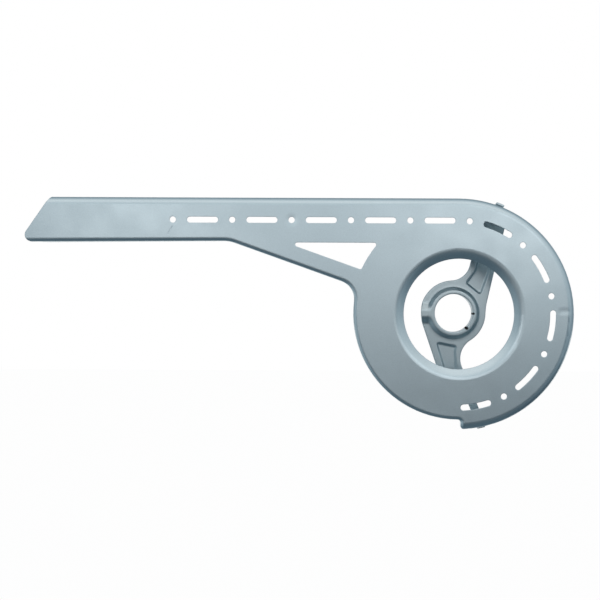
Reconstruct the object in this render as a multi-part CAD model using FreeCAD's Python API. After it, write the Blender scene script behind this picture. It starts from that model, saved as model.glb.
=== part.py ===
import FreeCAD, Part
import math
import os

# Bicycle chain guard: a pressed sheet-steel shell and the two-armed bracket that carries it.
# Millimetres. X runs forward along the bicycle, Z up, and the outer face looks toward -Y.
# The origin is on the bottom bracket axis, at the rear end of the bracket's neck.
# The round part of the shell is concentric with that axis, and the arm runs back from it.

V = FreeCAD.Vector

# Shell: sheet, disc and arm
sheet = 0.8                  # thickness of the shell's sheet
shell_depth = 33.0           # outer face to the rear edge of the deep wall
disc_radius = 103.2          # outer radius of the deep wall; the arm's top is tangent to it
deep_bend = 7.2              # outer radius of the bend between the face and the deep wall
arm_end_x = -385.5           # rearmost point of the arm
arm_end_angle = 55.5         # slope of the cut end
arm_end_corner = 6.1         # rounding of its lower corner
arm_foot_x = -204.7          # where the strut leaves the arm's lower edge
arm_height_foot = 39.1       # height of the arm there
arm_height_end = 40.4        # height of the arm at the rearmost point

# Lower lip: along the arm's lower edge, the strut and the disc's lower rear quarter
lip_set_in = 9.2             # the disc is this much smaller where it has only the lip
lip_bend = 3.5               # outer radius of the bend between the face and the lip
lip_inner_bevel = 1.6        # the lip's bend is bevelled on its inner side
lip_depth = 4.6              # depth of the lip on the strut and on the disc
flange_depth_end = 14.0      # the lip deepens to this toward the arm's end
flange_start = 12.0          # the straight flange begins this far in from the rearmost point
step_x = 1.6                 # where the lip steps out to the deep wall, under the axis
step_corner = 2.5            # inner rounding of that step
wall_end_slope = 24.0        # the deep wall's end slopes away from the step by this angle

# Strut and window
strut_angle = 19.5           # fall of the strut toward the disc
strut_width = 15.6           # strut between its lower edge and the window
strut_foot_round = 28.0      # rounding where the strut leaves the arm
strut_disc_round = 17.0      # rounding where the strut meets the disc
window_drop = 40.3           # arm's top edge down to the window's top edge
window_set_in = 7.5          # its front side is an arc about the axis, this far inside the disc
window_round = 1.8           # rounding of the window's corners

# Round holes and slots, alternating along one line
row_set_in = 20.4            # arm's top edge, and the disc's outer wall, to the line of holes
row_pitch = 52.6             # from hole to hole along the line
row_lead = 8.6               # first hole round the disc, past the top
holes_on_arm = 5
holes_on_disc = 5
hole_bore = 5.5
slot_length = 27.5
slot_width = 5.3

# Dished rim of the central opening
opening_radius = 49.2
dish_radius = 55.6           # where the face turns into the cone
dish_depth = 3.7
dish_bend = 11.0             # radius of the turn from the face into the cone
dish_inner_bevel = 1.6       # the same turn is bevelled on the inner side

# Bracket: one thicker sheet with a seat ring, a neck, two arms and two tabs
plate = 2.0
bore_radius = 17.5           # clears a 34.8 mm bottom bracket cup
neck_length = 8.0            # rear end of the neck to the front of the seat ring
neck_wall = 1.6              # drawn thinner than the plate
neck_lip_bevel = 0.7
seat_width = 3.0             # flat seat ring round the bore
seat_raise = 3.6             # seat ring stands this far in front of the plate
seat_slope = 2.5             # width of the slope round the seat ring
seat_edge_bevel = 0.8
plate_radius = 30.0
ridge_top = 8.0              # ridge from the seat ring to the plate's rear edge
ridge_slope = 4.3
upper_arm_angle = 76.7       # direction of the upper arm in the XZ plane
upper_arm_offset = 16.5      # its centre line passes the axis at this distance
upper_arm_width = 23.2
upper_arm_round = 18.0       # hollow between the plate and the upper arm
upper_front_round = 60.0     # where the upper arm's front edge leaves the plate
lower_arm_rear_angle = -71.3 # rear edge of the lower arm, tangent to the plate
lower_arm_angle = -67.5      # front edge of the lower arm, and the strip that goes on from it
lower_arm_offset = 11.3      # front edge passes the axis at this distance
lower_arm_round = 20.0       # hollow between the plate and the lower arm
lower_arm_end = 75.0         # radius where the lower arm narrows to the strip
lower_arm_end_round = 5.0
arm_corner_round = 2.0

# Sunk panels that stiffen the arms
panel_depth = 1.8
panel_slope = 2.2
panel_margin = 5.9           # edge of the arm to the panel
panel_gap = 30.2             # axis to the near corners of the upper panel
panel_gap_lower = 31.3       # axis to the near corners of the lower panel
panel_corners_upper = (66.8, 35.0)
panel_corners_lower = (-84.9, -118.1)
panel_reach = 84.0           # axis to the far end of the upper panel
panel_reach_lower = 68.0
panel_round = 1.6
panel_bend_upper = 9.0       # rounding where the upper panel's sides turn straight
panel_straight = 42.6        # they run straight from this far along the arm
panel_bend_lower = 6.0       # rounding where the lower panel passes the hollow
panel_hollow_angle = 165.0   # direction from the hollow's centre to the panel's corner

# Tabs through the shell's wall, folded forward over it
tab_width = 7.5
tab_angle_upper = 67.7
tab_angle_lower = -77.0
tab_length = 10.0            # straight part beyond the fold
tab_fold_inner = 1.0
tab_fold_upper = 80.0
tab_fold_lower = 88.0
tab_rise = 0.3               # wall to the start of the fold
slit_clearance = 0.25
seat_gap = 0.3               # arm's end to the inside of the wall

# Notches in the neck's front edge, either side of a locating tooth
notch_angles = (-2.3, -51.1)
notch_width = 2.0
notch_reach = 1.4
notch_depth = 4.0

# Levels along Y, from the neck's rear end at zero
seat_radius = bore_radius + seat_width
seat_y = -neck_length
plate_front_y = seat_y + seat_raise
plate_back_y = plate_front_y + plate
face_y = -shell_depth
arm_top_z = disc_radius
wall_inner_radius = disc_radius - sheet
lip_radius = disc_radius - lip_set_in
window_radius = disc_radius - window_set_in
row_radius = disc_radius - row_set_in
beyond = 12.0                # how far cutting solids run past the part


def point(x, z, y=0.0):
    return V(x, y, z)


def polar(radius, degrees, y=0.0):
    angle = math.radians(degrees)
    return V(radius * math.cos(angle), y, radius * math.sin(angle))


def direction(degrees):
    return polar(1.0, degrees)


def side(degrees):
    """Unit vector a quarter turn clockwise from the direction, seen from -Y."""
    return polar(1.0, degrees - 90.0)


def polygon(points):
    return Part.Face(Part.makePolygon(list(points) + [points[0]]))


def prism(face, y_from, y_to):
    """Extrude a face that lies at Y=0 so that it spans the two levels."""
    moved = face.copy()
    moved.translate(V(0, y_from, 0))
    return moved.extrude(V(0, y_to - y_from, 0))


def drum(radius, y_from, y_to, x=0.0, z=0.0):
    return Part.makeCylinder(radius, y_to - y_from, V(x, y_from, z), V(0, 1, 0))


def edges_near(shape, targets, tolerance=0.6):
    """Edges along Y whose middle passes through one of the (x, z) targets."""
    found = []
    for edge in shape.Edges:
        if len(edge.Vertexes) != 2:
            continue
        start, end = (vertex.Point for vertex in edge.Vertexes)
        if abs(start.x - end.x) > 1e-4 or abs(start.z - end.z) > 1e-4:
            continue
        if any(math.hypot(start.x - t.x, start.z - t.z) < tolerance for t in targets):
            found.append(edge)
    return found


def line_hits_circle(origin, heading, radius, far=True):
    """Point where a line in the XZ plane meets a circle about the axis."""
    along = origin.dot(heading)
    root = math.sqrt(along * along - origin.dot(origin) + radius * radius)
    return origin + heading * (-along + root if far else -along - root)


def outline_points(inset):
    """Corners of the shell's outline, moved inward by the inset."""
    radius = disc_radius - inset
    lip = lip_radius - inset
    step = step_x + inset
    foot_z = arm_top_z - arm_height_foot
    end_z = arm_top_z - arm_height_end
    run = arm_foot_x - arm_end_x
    arm_slope = math.degrees(math.atan2(foot_z - end_z, run))
    arm_heading = direction(arm_slope)
    strut_heading = direction(-strut_angle)
    foot = point(arm_foot_x, foot_z)
    arm_line = foot - side(arm_slope) * inset
    strut_line = foot - side(-strut_angle) * inset
    gap = strut_line - arm_line
    cross = arm_heading.x * strut_heading.z - arm_heading.z * strut_heading.x
    reach_along = (gap.x * strut_heading.z - gap.z * strut_heading.x) / cross
    corner = arm_line + arm_heading * reach_along
    far = arm_line - arm_heading * ((arm_line.x - arm_end_x + beyond) / arm_heading.x)
    return {
        "top_far": point(far.x, radius),
        "top": point(0.0, radius),
        "front": point(radius, 0.0),
        "wall_end": point(step, -math.sqrt(radius * radius - step * step)),
        "step": point(step, -math.sqrt(lip * lip - step * step)),
        "lip_middle": polar(lip, -135.0),
        "strut_disc": line_hits_circle(strut_line, strut_heading, lip, far=False),
        "strut_foot": corner,
        "bottom_far": far,
    }


def edge_middle(edge):
    return edge.valueAt(0.5 * (edge.FirstParameter + edge.LastParameter))


def front_edges(body, level, end_x):
    """Edges round the front face, apart from the one at the arm's open end."""
    found = []
    for edge in body.Edges:
        if any(abs(vertex.Point.y - level) > 1e-4 for vertex in edge.Vertexes):
            continue
        if abs(edge_middle(edge).x - end_x) > 1e-3:
            found.append(edge)
    return found


def along_wall(edge, set_back):
    """Whether an edge follows the arm's top or the disc, at this distance inside the outline."""
    middle = edge_middle(edge)
    radius = disc_radius - set_back
    return abs(middle.z - radius) < 1e-3 or abs(math.hypot(middle.x, middle.z) - radius) < 1e-3


def shell_body(inset, y_from, y_to):
    """Solid inside the shell's outline, with its front edges rounded by the bends."""
    p = outline_points(inset)
    edges = [
        Part.makeLine(p["top_far"], p["top"]),
        Part.Arc(p["top"], p["front"], p["wall_end"]).toShape(),
        Part.makeLine(p["wall_end"], p["step"]),
        Part.Arc(p["step"], p["lip_middle"], p["strut_disc"]).toShape(),
        Part.makeLine(p["strut_disc"], p["strut_foot"]),
        Part.makeLine(p["strut_foot"], p["bottom_far"]),
        Part.makeLine(p["bottom_far"], p["top_far"]),
    ]
    body = prism(Part.Face(Part.Wire(edges)), y_from, y_to)
    body = body.makeFillet(strut_disc_round + inset, edges_near(body, [p["strut_disc"]]))
    body = body.makeFillet(strut_foot_round + inset, edges_near(body, [p["strut_foot"]]))
    body = body.makeFillet(step_corner + inset, edges_near(body, [p["step"]]))
    end_x = p["top_far"].x
    deep_radius = deep_bend - inset
    deep = [edge for edge in front_edges(body, y_from, end_x) if along_wall(edge, inset)]
    body = body.makeFillet(deep_radius, deep)
    lip = [edge for edge in front_edges(body, y_from, end_x)
           if not along_wall(edge, inset + deep_radius)]
    if inset:
        return body.makeChamfer(lip_inner_bevel, lip)
    return body.makeFillet(lip_bend, lip)


def end_trim():
    """Space behind the arm's slanted end, with its rounded lower corner."""
    low_z = arm_top_z - arm_height_end
    high_z = arm_top_z + beyond
    centre = point(arm_end_x + arm_end_corner, low_z + arm_end_corner)
    slope_foot = centre + direction(arm_end_angle + 90.0) * arm_end_corner
    rise = (high_z - slope_foot.z) / math.sin(math.radians(arm_end_angle))
    slope_top = slope_foot + direction(arm_end_angle) * rise
    corner_middle = centre + direction(180.0 + arm_end_angle / 2.0) * arm_end_corner
    corner_foot = centre + direction(270.0) * arm_end_corner
    back_x = arm_end_x - 2.0 * beyond
    below = point(corner_foot.x, low_z - beyond)
    edges = [
        Part.makeLine(slope_top, slope_foot),
        Part.Arc(slope_foot, corner_middle, corner_foot).toShape(),
        Part.makeLine(corner_foot, below),
        Part.makeLine(below, point(back_x, below.z)),
        Part.makeLine(point(back_x, below.z), point(back_x, high_z)),
        Part.makeLine(point(back_x, high_z), slope_top),
    ]
    return prism(Part.Face(Part.Wire(edges)), face_y - beyond, 2.0 * beyond)


def plan_cut(points, z_from, z_to):
    """Cutting solid with a plan given as (x, y) points, between two heights."""
    base = polygon([V(x, y, z_from) for x, y in points])
    return base.extrude(V(0, 0, z_to - z_from))


def wall_trims():
    """Cuts that leave the lip, the arm's lower flange and the deep wall's sloped end."""
    back_x = arm_end_x - 2.0 * beyond
    behind = 2.0 * beyond
    lip_y = face_y + lip_depth
    wall_x = step_x + 1.5 * sheet
    arm_low_z = arm_top_z - arm_height_end
    lip = plan_cut([
        (back_x, face_y + flange_depth_end), (arm_end_x, face_y + flange_depth_end),
        (arm_foot_x, lip_y), (wall_x, lip_y), (wall_x, behind), (back_x, behind),
    ], -disc_radius - beyond, row_radius)
    slope = math.tan(math.radians(wall_end_slope))
    wall_end = plan_cut([
        (wall_x - 1.0, lip_y), (wall_x, lip_y),
        (wall_x + (behind - lip_y) * slope, behind), (wall_x - 1.0, behind),
    ], -disc_radius - beyond, -row_radius)
    bend_y = face_y + lip_bend
    flange_x = arm_end_x + flange_start
    flange = plan_cut([
        (back_x, bend_y), (flange_x, bend_y),
        (flange_x + flange_depth_end * 0.5, face_y + flange_depth_end), (back_x, behind),
    ], arm_low_z - beyond, arm_low_z + lip_bend)
    return [lip, wall_end, flange]


def on_row(along, across=0.0):
    """Point on the line of holes: straight over the arm, then round the disc."""
    if along < 0.0:
        return point(along, row_radius + across)
    return polar(row_radius + across, 90.0 - math.degrees(along / row_radius))


def slot_face(middle):
    half = slot_length / 2.0
    flat = half - slot_width / 2.0
    edge = slot_width / 2.0

    def long_side(start, end, across):
        first, last = on_row(start, across), on_row(end, across)
        if middle < 0.0:
            return Part.makeLine(first, last)
        return Part.Arc(first, on_row(middle, across), last).toShape()

    def round_end(along, tip, across):
        return Part.Arc(on_row(along, across), on_row(tip), on_row(along, -across)).toShape()

    return Part.Face(Part.Wire([
        long_side(middle - flat, middle + flat, edge),
        round_end(middle + flat, middle + half, edge),
        long_side(middle + flat, middle - flat, -edge),
        round_end(middle - flat, middle - half, -edge),
    ]))


def row_cuts():
    """Round holes and slots, alternating at half a pitch."""
    y_from, y_to = face_y - 1.0, face_y + sheet + 1.0
    cuts = []
    for count in range(-holes_on_arm, holes_on_disc):
        hole = row_lead + row_pitch * count
        place = on_row(hole)
        cuts.append(drum(hole_bore / 2.0, y_from, y_to, place.x, place.z))
        cuts.append(prism(slot_face(hole + row_pitch / 2.0), y_from, y_to))
    return cuts


def window_cut():
    """Three-sided opening between the arm, the strut and the disc."""
    top_z = arm_top_z - window_drop
    foot = point(arm_foot_x, arm_top_z - arm_height_foot)
    heading = direction(-strut_angle)
    low_line = foot - side(-strut_angle) * strut_width
    tip = low_line + heading * ((low_line.z - top_z) / -heading.z)
    low = line_hits_circle(low_line, heading, window_radius, far=False)
    high = point(-math.sqrt(window_radius ** 2 - top_z ** 2), top_z)
    middle = (low + high) * 0.5
    middle = middle * (window_radius / middle.Length)
    face = Part.Face(Part.Wire([
        Part.makeLine(tip, high),
        Part.Arc(high, middle, low).toShape(),
        Part.makeLine(low, tip),
    ]))
    cut = prism(face, face_y - 1.0, face_y + sheet + 1.0)
    return cut.makeFillet(window_round, edges_near(cut, [tip, high, low]))


def circle_edges(shape, radius, y):
    """Full circles about the axis, of one radius and at one level."""
    found = []
    for edge in shape.Edges:
        curve = edge.Curve
        if isinstance(curve, Part.Circle) and abs(curve.Radius - radius) < 1e-3:
            if abs(curve.Center.y - y) < 1e-3 and edge.isClosed():
                found.append(edge)
    return found


def revolved(profile):
    """Turn a closed profile of (radius, y) points about the Y axis."""
    face = polygon([V(radius, y, 0) for radius, y in profile])
    return face.revolve(V(0, 0, 0), V(0, 1, 0), 360.0)


def dish_rim(join_radius):
    """Cone of sheet round the central opening, turned in from the face."""
    fall = math.atan2(dish_depth, dish_radius - opening_radius)
    turn = sheet * math.tan(fall / 2.0)
    rim_y = face_y + dish_depth
    rim = revolved([
        (join_radius, face_y), (dish_radius, face_y), (opening_radius, rim_y),
        (opening_radius + sheet * math.sin(fall), rim_y + sheet * math.cos(fall)),
        (dish_radius + turn, face_y + sheet), (join_radius, face_y + sheet),
    ])
    rim = rim.makeFillet(dish_bend, circle_edges(rim, dish_radius, face_y))
    inner = circle_edges(rim, dish_radius + turn, face_y + sheet)
    return rim.makeChamfer(dish_inner_bevel, inner)


def slit_cuts():
    """Slits through the deep wall for the bracket's tabs."""
    half = tab_width / 2.0 + slit_clearance
    cuts = []
    for angle in (tab_angle_upper, tab_angle_lower):
        out, across = direction(angle), side(angle) * half
        low, high = out * (wall_inner_radius - 3.0), out * (disc_radius + 3.0)
        face = polygon([low - across, high - across, high + across, low + across])
        cuts.append(prism(face, plate_front_y - slit_clearance, plate_back_y + slit_clearance))
    return cuts


def guard_shell():
    shell = shell_body(0.0, face_y, beyond).cut(
        shell_body(sheet, face_y + sheet, 2.0 * beyond))
    level = plan_cut([
        (arm_end_x - 3.0 * beyond, 0.0), (disc_radius + beyond, 0.0),
        (disc_radius + beyond, 3.0 * beyond), (arm_end_x - 3.0 * beyond, 3.0 * beyond),
    ], -disc_radius - beyond, disc_radius + beyond)
    shell = shell.cut([level, end_trim()] + wall_trims())
    join_radius = dish_radius + dish_bend + 1.0
    shell = shell.cut(drum(join_radius, face_y - 1.0, face_y + sheet + 1.0))
    shell = shell.fuse(dish_rim(join_radius)).removeSplitter()
    return shell.cut(row_cuts() + [window_cut()] + slit_cuts())


def band(points, width):
    """Flat strip along a bent centre line, mitred at each bend."""
    left, right = [], []
    for index, here in enumerate(points):
        before = (here - points[index - 1]).normalize() if index else None
        after = (points[index + 1] - here).normalize() if index + 1 < len(points) else None
        before, after = before or after, after or before
        mean = (before + after).normalize()
        across = V(-mean.z, 0, mean.x) * (width / 2.0 / mean.dot(after))
        left.append(here + across)
        right.append(here - across)
    return polygon(left + right[::-1])


def arm_line(angle, offset, along):
    """Point beside the axis by the offset, then out along the angle."""
    return side(angle) * offset + direction(angle) * along


def arm_edge_at(angle, offset, radius):
    return arm_line(angle, offset, math.sqrt(radius * radius - offset * offset))


def seat_ring(join_radius):
    """Neck, flat seat ring and the slope down to the plate."""
    slope_radius = seat_radius + seat_slope
    turn = plate * math.tan(math.atan2(seat_raise, seat_slope) / 2.0)
    ring = revolved([
        (bore_radius, 0.0), (bore_radius, seat_y), (seat_radius, seat_y),
        (slope_radius, plate_front_y), (join_radius, plate_front_y),
        (join_radius, plate_back_y), (slope_radius - turn, plate_back_y),
        (seat_radius - turn, seat_y + plate), (bore_radius + neck_wall, seat_y + plate),
        (bore_radius + neck_wall, 0.0),
    ])
    ring = ring.makeChamfer(neck_lip_bevel, circle_edges(ring, bore_radius, seat_y))
    ring = ring.makeChamfer(seat_edge_bevel, circle_edges(ring, seat_radius, seat_y))
    return ring.makeChamfer(seat_edge_bevel, circle_edges(ring, slope_radius, plate_front_y))


def ridge(level_front, level_back, x_from, x_to):
    """Trapezoid bar along X, from the back level up to the seat ring's height."""
    drop = level_back - level_front
    half = ridge_top / 2.0
    foot = half + ridge_slope * drop / seat_raise
    section = polygon([
        V(x_from, level_back, -foot), V(x_from, level_front, -half),
        V(x_from, level_front, half), V(x_from, level_back, foot),
    ])
    return section.extrude(V(x_to - x_from, 0, 0))


def rounded_wire(points, radii, y):
    """Closed outline with its corners rounded by tangent arcs."""
    edges, joints = [], []
    total = len(points)
    for index, corner in enumerate(points):
        back = (points[index - 1] - corner).normalize()
        ahead = (points[(index + 1) % total] - corner).normalize()
        half = math.acos(max(-1.0, min(1.0, back.dot(ahead)))) / 2.0
        tangent = radii[index] / math.tan(half)
        centre = corner + (back + ahead).normalize() * (radii[index] / math.sin(half))
        middle = centre + (corner - centre).normalize() * radii[index]
        joints.append((corner + back * tangent, middle, corner + ahead * tangent))
    for index, (start, middle, end) in enumerate(joints):
        edges.append(Part.Arc(start, middle, end).toShape())
        edges.append(Part.makeLine(end, joints[(index + 1) % total][0]))
    wire = Part.Wire(edges)
    wire.translate(V(0, y, 0))
    return wire


def moved_in(points, distance):
    """Polygon with each side moved inward; the points run clockwise seen from -Y."""
    total = len(points)
    lines = []
    for index in range(total):
        start, end = points[index], points[(index + 1) % total]
        heading = (end - start).normalize()
        inward = V(heading.z, 0, -heading.x)
        lines.append((start + inward * distance, heading))
    moved = []
    for index in range(total):
        (p, d), (q, e) = lines[index - 1], lines[index]
        cross = d.x * e.z - d.z * e.x
        gap = q - p
        moved.append(p + d * ((gap.x * e.z - gap.z * e.x) / cross))
    return moved


def sunk_panel(points, radii, top_y):
    """Tapered pan, wide at the top level and narrower at its floor."""
    floor = moved_in(points, panel_slope)
    wires = [rounded_wire(points, radii, top_y),
             rounded_wire(floor, radii, top_y + panel_depth)]
    return Part.makeLoft(wires, True, True)


def upper_panel_points():
    left = upper_arm_offset - upper_arm_width / 2.0 + panel_margin
    right = upper_arm_offset + upper_arm_width / 2.0 - panel_margin
    near_left, near_right = (polar(panel_gap, angle) for angle in panel_corners_upper)
    return [
        near_left,
        arm_line(upper_arm_angle, left, panel_straight),
        arm_edge_at(upper_arm_angle, left, panel_reach),
        arm_edge_at(upper_arm_angle, right, panel_reach),
        arm_line(upper_arm_angle, right, panel_straight),
        near_right,
    ]


def lower_panel_points():
    front = lower_arm_offset + panel_margin
    rear = plate_radius - panel_margin
    near_front, near_rear = (polar(panel_gap_lower, angle) for angle in panel_corners_lower)
    hollow_offset = lower_arm_offset - lower_arm_round
    hollow = arm_edge_at(lower_arm_angle, hollow_offset, plate_radius + lower_arm_round)
    return [
        near_front,
        hollow + polar(lower_arm_round + panel_margin, panel_hollow_angle),
        hollow + side(lower_arm_angle) * (lower_arm_round + panel_margin),
        arm_edge_at(lower_arm_angle, front, panel_reach_lower),
        arm_edge_at(lower_arm_rear_angle, rear, panel_reach_lower),
        near_rear,
    ]


def plate_outline():
    """Round plate, both arms and the strips of the tabs, as one flat sheet."""
    arm_end = wall_inner_radius - seat_gap
    tab_end = disc_radius + tab_rise
    left = upper_arm_offset - upper_arm_width / 2.0
    right = upper_arm_offset + upper_arm_width / 2.0
    levels = (plate_front_y, plate_back_y)
    upper = prism(polygon([
        arm_line(upper_arm_angle, left, 0.0), arm_line(upper_arm_angle, left, disc_radius),
        arm_line(upper_arm_angle, right, disc_radius), arm_line(upper_arm_angle, right, 0.0),
    ]), *levels).common(drum(arm_end, *levels))
    lower = prism(polygon([
        arm_line(lower_arm_angle, lower_arm_offset, 0.0),
        arm_line(lower_arm_angle, lower_arm_offset, disc_radius),
        arm_line(lower_arm_rear_angle, plate_radius, disc_radius),
        arm_line(lower_arm_rear_angle, plate_radius, 0.0),
    ]), *levels).common(drum(lower_arm_end, *levels))
    upper_strip = prism(band([
        polar(0.75 * arm_end, tab_angle_upper),
        polar(tab_end, tab_angle_upper),
    ], tab_width), *levels)
    strip_offset = lower_arm_offset + tab_width / 2.0
    turn = math.radians(lower_arm_angle - tab_angle_lower)
    strip_turn = polar(strip_offset / math.sin(turn), tab_angle_lower)
    lower_strip = prism(band([
        arm_edge_at(lower_arm_angle, strip_offset, lower_arm_end - tab_width),
        strip_turn,
        polar(tab_end, tab_angle_lower),
    ], tab_width), *levels)
    body = drum(plate_radius, *levels).fuse([upper, lower, upper_strip, lower_strip])
    body = body.removeSplitter()
    front_edge = arm_edge_at(upper_arm_angle, right, plate_radius)
    rounds = [
        (upper_arm_round, arm_edge_at(upper_arm_angle, left, plate_radius)),
        (upper_front_round, front_edge),
        (lower_arm_round, arm_edge_at(lower_arm_angle, lower_arm_offset, plate_radius)),
        (lower_arm_end_round,
         arm_edge_at(lower_arm_angle, lower_arm_offset + tab_width, lower_arm_end)),
        (lower_arm_end_round,
         arm_edge_at(lower_arm_rear_angle, plate_radius, lower_arm_end)),
        (arm_corner_round, arm_edge_at(upper_arm_angle, left, arm_end)),
        (arm_corner_round, arm_edge_at(upper_arm_angle, right, arm_end)),
    ]
    for radius, place in rounds:
        body = body.makeFillet(radius, edges_near(body, [place]))
    return body


def folded_tab(angle, fold):
    """Tab beyond the wall: a bend forward, then a straight end."""
    start = disc_radius + tab_rise
    out, across = direction(angle), side(angle)
    turn = math.radians(fold)

    def place(radius_in_bend, swept, extra=0.0):
        u = start + radius_in_bend * math.sin(swept) + extra * math.cos(turn)
        y = plate_front_y - tab_fold_inner + radius_in_bend * math.cos(swept)
        return out * u + V(0, y - extra * math.sin(turn), 0)

    near, far = tab_fold_inner, tab_fold_inner + plate
    edges = [
        Part.makeLine(place(near, 0.0), place(far, 0.0)),
        Part.Arc(place(far, 0.0), place(far, turn / 2.0), place(far, turn)).toShape(),
        Part.makeLine(place(far, turn), place(far, turn, tab_length)),
        Part.makeLine(place(far, turn, tab_length), place(near, turn, tab_length)),
        Part.makeLine(place(near, turn, tab_length), place(near, turn)),
        Part.Arc(place(near, turn), place(near, turn / 2.0), place(near, 0.0)).toShape(),
    ]
    profile = Part.Face(Part.Wire(edges))
    profile.translate(across * (-tab_width / 2.0))
    return profile.extrude(across * tab_width)


def notch_cuts():
    cuts = []
    for angle in notch_angles:
        near = direction(angle) * (bore_radius - 1.0)
        far = direction(angle) * (bore_radius + notch_reach)
        cuts.append(prism(band([near, far], notch_width), seat_y - 1.0, seat_y + notch_depth))
    return cuts


def bracket():
    join_radius = seat_radius + seat_slope + 2.0
    body = plate_outline()
    body = body.cut(drum(join_radius, plate_front_y - 1.0, plate_back_y + 1.0))
    body = body.fuse(seat_ring(join_radius))
    ridge_x = (-plate_radius - 1.0, -seat_radius + 0.5)
    edge = drum(plate_radius, seat_y - 1.0, plate_back_y + 1.0)
    raised = ridge(seat_y, plate_front_y, *ridge_x).common(edge)
    hollow = ridge(seat_y + plate, plate_back_y, *ridge_x)
    body = body.fuse(raised).cut(hollow)
    panels = [
        (upper_panel_points(), (panel_round, panel_bend_upper, panel_round,
                                panel_round, panel_bend_upper, panel_round)),
        (lower_panel_points(), (panel_round, panel_bend_lower, panel_bend_lower,
                                panel_round, panel_round, panel_round)),
    ]
    for points, radii in panels:
        body = body.fuse(sunk_panel(points, radii, plate_back_y))
        body = body.cut(sunk_panel(points, radii, plate_front_y))
    body = body.fuse([
        folded_tab(tab_angle_upper, tab_fold_upper),
        folded_tab(tab_angle_lower, tab_fold_lower),
    ])
    return body.cut(notch_cuts()).removeSplitter()


os.makedirs("parts", exist_ok=True)
for name, shape in (("guard_shell", guard_shell()), ("bracket", bracket())):
    solid = shape.Solids[0]
    print(name, "solids", len(shape.Solids), "valid", shape.isValid(),
          "volume", round(shape.Volume, 1))
    solid.exportStep("parts/%s.step" % name)
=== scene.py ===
import math
import bpy
import numpy as np
from mathutils.geometry import delaunay_2d_cdt
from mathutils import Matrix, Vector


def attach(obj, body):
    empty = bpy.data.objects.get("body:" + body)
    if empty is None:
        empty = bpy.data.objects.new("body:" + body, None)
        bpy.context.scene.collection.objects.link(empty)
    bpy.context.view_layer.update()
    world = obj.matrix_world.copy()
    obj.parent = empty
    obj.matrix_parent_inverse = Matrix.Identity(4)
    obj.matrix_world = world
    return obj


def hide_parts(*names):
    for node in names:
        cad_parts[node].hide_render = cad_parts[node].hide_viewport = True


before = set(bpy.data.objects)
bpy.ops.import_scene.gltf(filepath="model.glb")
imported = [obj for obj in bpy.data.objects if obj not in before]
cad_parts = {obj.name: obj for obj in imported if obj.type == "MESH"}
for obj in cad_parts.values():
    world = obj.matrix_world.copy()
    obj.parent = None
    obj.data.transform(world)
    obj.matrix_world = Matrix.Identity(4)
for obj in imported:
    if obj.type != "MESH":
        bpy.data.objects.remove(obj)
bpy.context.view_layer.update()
bpy.context.scene.view_settings.view_transform = "Standard"
MM = 0.001

# Camera: square on to the outer face, a little above the bottom bracket axis
CAMERA_PLACE = (-0.14154, -0.693, 0.02522)
CAMERA_ROLL = 0.235                     # degrees
CAMERA_SENSOR, CAMERA_LENS = 36.0, 44.724
CAMERA_SHIFT = -0.025                   # the lens is slid down, so the view isn't tilted
CAMERA_CLIP = (0.02, 20.0)              # metres

# Floor, in metres
FLOOR_LEVEL = -0.42
FLOOR_FRONT, FLOOR_BACK, FLOOR_HALF = 0.36, 3.2, 2.4
FLOOR_TONE, FLOOR_WHITE = 0.82, 0.975   # of the paper, and where the floor is seen directly

# Sky: levels about the X axis by degrees, 0 toward the viewer, 90 overhead and 180 behind.
# It is bright overhead, dim behind and underneath, and dark below the viewer.
SKY = (
    (-180, 0.25), (-60, 0.10), (-35, 0.10), (-25, 0.03), (-8, 0.03), (10, 0.25), (30, 0.95),
    (45, 1.10), (65, 1.10), (95, 0.60), (130, 0.25), (180, 0.25),
)
SKY_COOLING = (1.22, 1.0, 0.89)         # the darker, the bluer: a power for each channel

# Sides of the sky: the level low down and high up, then the degrees from the viewer where it
# starts and ends to fall, and the share that is left there
SIDE_START, SIDE_FULL = 0.35, 0.9       # X share of a heading where a side starts and is full
SIDE_LOW, SIDE_HIGH = -0.7, 0.4         # Z share of a heading where the two levels hold
RIGHT_LEVELS, RIGHT_FALL = (0.1, 1.1), (30, 100, 0.4)
LEFT_LEVELS, LEFT_FALL = (0.5, 0.65), (75, 120, 0.5)

# Soft boxes round the camera: degrees right and up from the viewer, and level
BOX_WIDTH = 0.30
BOX_COLOUR = (1.06, 1.0, 0.97)
SOFT_BOXES = ((-12, 7, 1.6), (12, 6, 1.15), (24, 11, 1.2), (0, -15, 0.4), (-24, -15, 0.3))
BACKDROP_START, BACKDROP_FULL = 0.82, 0.92   # Y share of a heading that meets the backdrop

# Paint: a light and a dark tone of each, its metal share, roughness and clear coat
SHELL_TONES = ((0.545, 0.65, 0.695), (0.525, 0.63, 0.675))
BRACKET_TONES = ((0.525, 0.615, 0.65), (0.475, 0.565, 0.60))
SHELL_METAL, BRACKET_METAL = 0.85, 0.94
SHELL_ROUGHNESS, BRACKET_ROUGHNESS = 0.30, 0.39
COAT, COAT_ROUGHNESS = 0.35, 0.16

# Grain of the paint: each noise by its scale and detail, with the span of its values in use
CLOUDS, CLOUD_SPAN = (9.0, 2.0), (0.35, 0.65)
SMEARS, SMEAR_SPAN, ROUGHNESS_DRIFT = (38.0, 3.0), (0.3, 0.7), 0.025
FLAKES, FLAKE_CONTRAST = 2600.0, 0.045
PEEL, WAVES, WAVE_SHARE = (420.0, 1.0), (70.0, 1.0), 3.0
PEEL_DEPTH, PEEL_STRENGTH = 0.03, 0.25  # mm, and how much of the bump shows

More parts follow.
